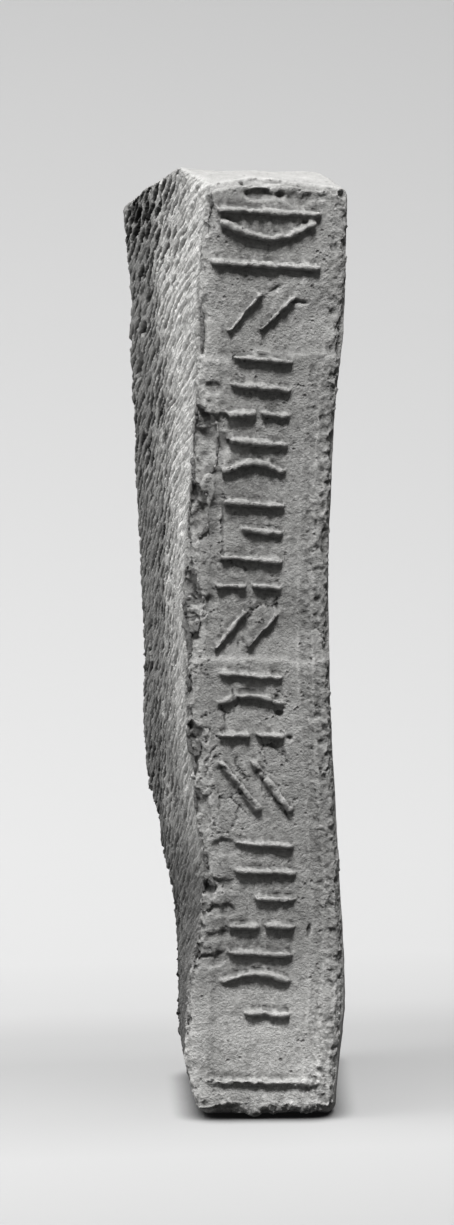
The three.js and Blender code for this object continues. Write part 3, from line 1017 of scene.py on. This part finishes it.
@dataclass
class Studio:
    """A pale floor with a sweep behind it, soft light mostly from above, and the camera."""

    floor_size: float = 9.0
    sweep_start: float = 0.24
    sweep_radius: float = 0.5
    sweep_rise: float = 3.0
    sweep_width: float = 5.0
    pale: float = 0.47
    bounce: float = 0.15
    # painted contact shadow on the paper near the brick
    contact_shadow_reach: float = 0.013
    contact_shadow_dark: float = 0.28
    contact_shadow_clear: float = 0.85
    room_light: float = 0.06
    key_place: tuple[float, float, float] = (-0.3, -1.3, 2.4)
    key_size: float = 0.6
    key_power: float = 84.0
    azimuth: float = -11.0
    elevation: float = 7.0
    distance: float = 2.0
    target: tuple[float, float, float] = (-0.0179, -0.04, 0.18)
    lens: float = 165.3

    def build(self) -> None:
        """Makes the floor, sweep, lights and camera."""
        paper = self.paper()
        self.lights(self.floor(paper), self.sweep(paper))
        self.camera()

    def paper(self) -> bpy.types.Material:
        """Makes the pale paper, which can't be seen from behind, and returns it."""
        material = bpy.data.materials.new("pale_paper")
        material.use_nodes = True
        tree = material.node_tree
        shader = tree.nodes["Principled BSDF"]
        place = add_node(tree, "TexCoord", {}).outputs["Object"]
        back = add_node(tree, "SeparateXYZ", {0: place}).outputs["Y"]
        first, last = PAPER_SHADES[0][0], PAPER_SHADES[-1][0]
        share = add_node(tree, "MapRange", {0: back, 1: first, 2: last})
        shades = add_node(tree, "ValToRGB", {0: share.outputs[0]})
        for where, _ in PAPER_SHADES[1:-1]:
            shades.color_ramp.elements.new((where - first) / (last - first))
        for element, (_, shade) in zip(shades.color_ramp.elements, PAPER_SHADES):
            element.color = (self.pale * shade, self.pale * shade, self.pale * shade, 1)
        scattered = add_node(tree, "LightPath", {}).outputs["Is Diffuse Ray"]
        returned = add_node(tree, "MapRange", {0: scattered, 3: 1.0, 4: self.bounce})
        # painted contact shadow: the paper is painted darker where the brick stands near it
        near = add_node(tree, "AmbientOcclusion", {"Distance": self.contact_shadow_reach}, samples=16)
        reach = {0: near.outputs["AO"], 1: self.contact_shadow_dark, 2: self.contact_shadow_clear}
        painted_contact_shadow = add_node(tree, "MapRange", reach)
        shade = add_node(tree, "Math", {0: returned.outputs[0], 1: painted_contact_shadow.outputs[0]},
                         operation="MULTIPLY")
        colour = add_node(tree, "VectorMath", {0: shades.outputs["Color"], 3: shade.outputs[0]},
                          operation="SCALE")
        tree.links.new(colour.outputs[0], shader.inputs["Base Color"])
        shader.inputs["Roughness"].default_value = 0.95
        shader.inputs["Specular IOR Level"].default_value = 0.1
        behind = add_node(tree, "NewGeometry", {}).outputs["Backfacing"]
        clear = add_node(tree, "BsdfTransparent", {})
        mixed = add_node(tree, "MixShader", {0: behind, 1: shader.outputs[0], 2: clear.outputs[0]})
        tree.links.new(mixed.outputs[0], tree.nodes["Material Output"].inputs["Surface"])
        return material

    def floor(self, paper: bpy.types.Material) -> bpy.types.Object:
        """Lays the floor and returns it."""
        bpy.ops.object.select_all(action="DESELECT")
        bpy.ops.mesh.primitive_plane_add(size=self.floor_size)
        floor = bpy.context.object
        floor.name = "studio_floor"
        floor.data.materials.append(paper)
        return floor

    def sweep(self, paper: bpy.types.Material) -> bpy.types.Object:
        """Stands the sweep behind the object, in a smooth curve from the floor, and returns it."""
        bpy.ops.object.select_all(action="DESELECT")
        bpy.ops.mesh.primitive_plane_add(size=1)
        sweep = bpy.context.object
        sweep.name = "studio_sweep"
        sweep.scale = (self.sweep_width, self.sweep_radius, 1)
        sweep.location = (0, self.sweep_start + self.sweep_radius / 2, 0.0004)
        bpy.ops.object.transform_apply(location=True, scale=True)
        bpy.ops.object.mode_set(mode="EDIT")
        bpy.ops.mesh.select_mode(type="EDGE")
        bpy.ops.mesh.select_all(action="DESELECT")
        bpy.ops.object.mode_set(mode="OBJECT")
        far = self.sweep_start + self.sweep_radius
        for edge in sweep.data.edges:
            ends = [sweep.data.vertices[v].co for v in edge.vertices]
            edge.select = all(abs(end.y - far) < MM for end in ends)
        bpy.ops.object.mode_set(mode="EDIT")
        bpy.ops.mesh.extrude_region_move(TRANSFORM_OT_translate={"value": (0, 0, self.sweep_rise)})
        bpy.ops.object.mode_set(mode="OBJECT")
        for edge in sweep.data.edges:
            ends = [sweep.data.vertices[v].co for v in edge.vertices]
            edge.select = all(abs(end.y - far) < MM and end.z < 0.01 for end in ends)
        bpy.ops.object.mode_set(mode="EDIT")
        bpy.ops.mesh.bevel(offset=self.sweep_radius * 0.98, segments=24, affect="EDGES")
        bpy.ops.mesh.select_all(action="SELECT")
        bpy.ops.mesh.normals_make_consistent(inside=False)
        bpy.ops.object.mode_set(mode="OBJECT")
        if sweep.data.polygons[0].normal.z < 0 or sweep.data.polygons[-1].normal.y > 0.5:
            sweep.data.flip_normals()
        bpy.ops.object.shade_smooth()
        sweep.visible_shadow = False
        sweep.data.materials.append(paper)
        return sweep

    def lamp(
        self,
        name: str,
        place: tuple[float, float, float],
        size: float,
        power: float,
        aim: tuple[float, float, float] = (0, 0, 0.17),
    ) -> bpy.types.Object:
        """Hangs a square soft light and returns it.

        Args:
            name: the light's name.
            place: where it hangs.
            size: the length of its side.
            power: its power in watts.
            aim: the place that it is turned to.
        """
        data = bpy.data.lights.new(name, "AREA")
        data.size = size
        data.energy = power
        light = bpy.data.objects.new(name, data)
        bpy.context.scene.collection.objects.link(light)
        light.location = place
        light.rotation_euler = (Vector(aim) - Vector(place)).to_track_quat("-Z", "Y").to_euler()
        return light

    def lights(self, *papers: bpy.types.Object) -> None:
        """Hangs the lights and sets the light of the room. The key light's shadow isn't on the paper.

        Args:
            papers: the floor and the sweep.
        """
        key = self.lamp("key_above", self.key_place, self.key_size, self.key_power)
        paper_key = self.lamp("paper_key", self.key_place, self.key_size, self.key_power)
        paper_only = bpy.data.collections.new("paper_only")
        all_but_paper = bpy.data.collections.new("all_but_paper")
        for paper in papers:
            paper_only.objects.link(paper)
            all_but_paper.objects.link(paper)
        for linked in all_but_paper.collection_objects:
            linked.light_linking.link_state = "EXCLUDE"
        key.light_linking.receiver_collection = all_but_paper
        paper_key.light_linking.receiver_collection = paper_only
        paper_key.light_linking.blocker_collection = paper_only
        self.lamp("key_left", (-1.5, 0.0, 2.1), 2.4, 24.0)
        self.lamp("low_left", (-1.7, 0.0, 0.8), 0.9, 11.0)
        self.lamp("wall_wash", (0.35, 0.35, 2.1), 1.4, 14.0, aim=(0.15, 0.74, 0.1))
        world = bpy.data.worlds.new("room")
        world.use_nodes = True
        background = world.node_tree.nodes["Background"]
        background.inputs["Color"].default_value = (1, 1, 1, 1)
        background.inputs["Strength"].default_value = self.room_light
        bpy.context.scene.world = world
        bpy.context.scene.view_settings.view_transform = "Standard"

    def camera(self) -> None:
        """Sets the camera at the photograph's angle."""
        azimuth, elevation = math.radians(self.azimuth), math.radians(self.elevation)
        away = Vector((math.sin(azimuth) * math.cos(elevation), -math.cos(azimuth) * math.cos(elevation),
                       math.sin(elevation)))
        data = bpy.data.cameras.new("camera")
        data.lens = self.lens
        data.clip_start = 0.05
        camera = bpy.data.objects.new("camera", data)
        bpy.context.scene.collection.objects.link(camera)
        camera.location = Vector(self.target) + away * self.distance
        camera.rotation_euler = (-away).to_track_quat("-Z", "Y").to_euler()
        bpy.context.scene.camera = camera


def main() -> None:
    """Builds the fragment and the studio around it."""
    brick = FiredBrick()
    piece = brick.build()
    piece.data.materials.append(ClayFinish().make())
    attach(piece, "root")
    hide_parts(brick.node)
    log.info("%s: %d triangles", piece.name, len(piece.data.polygons))
    Studio().build()


if __name__ == "__main__":
    main()
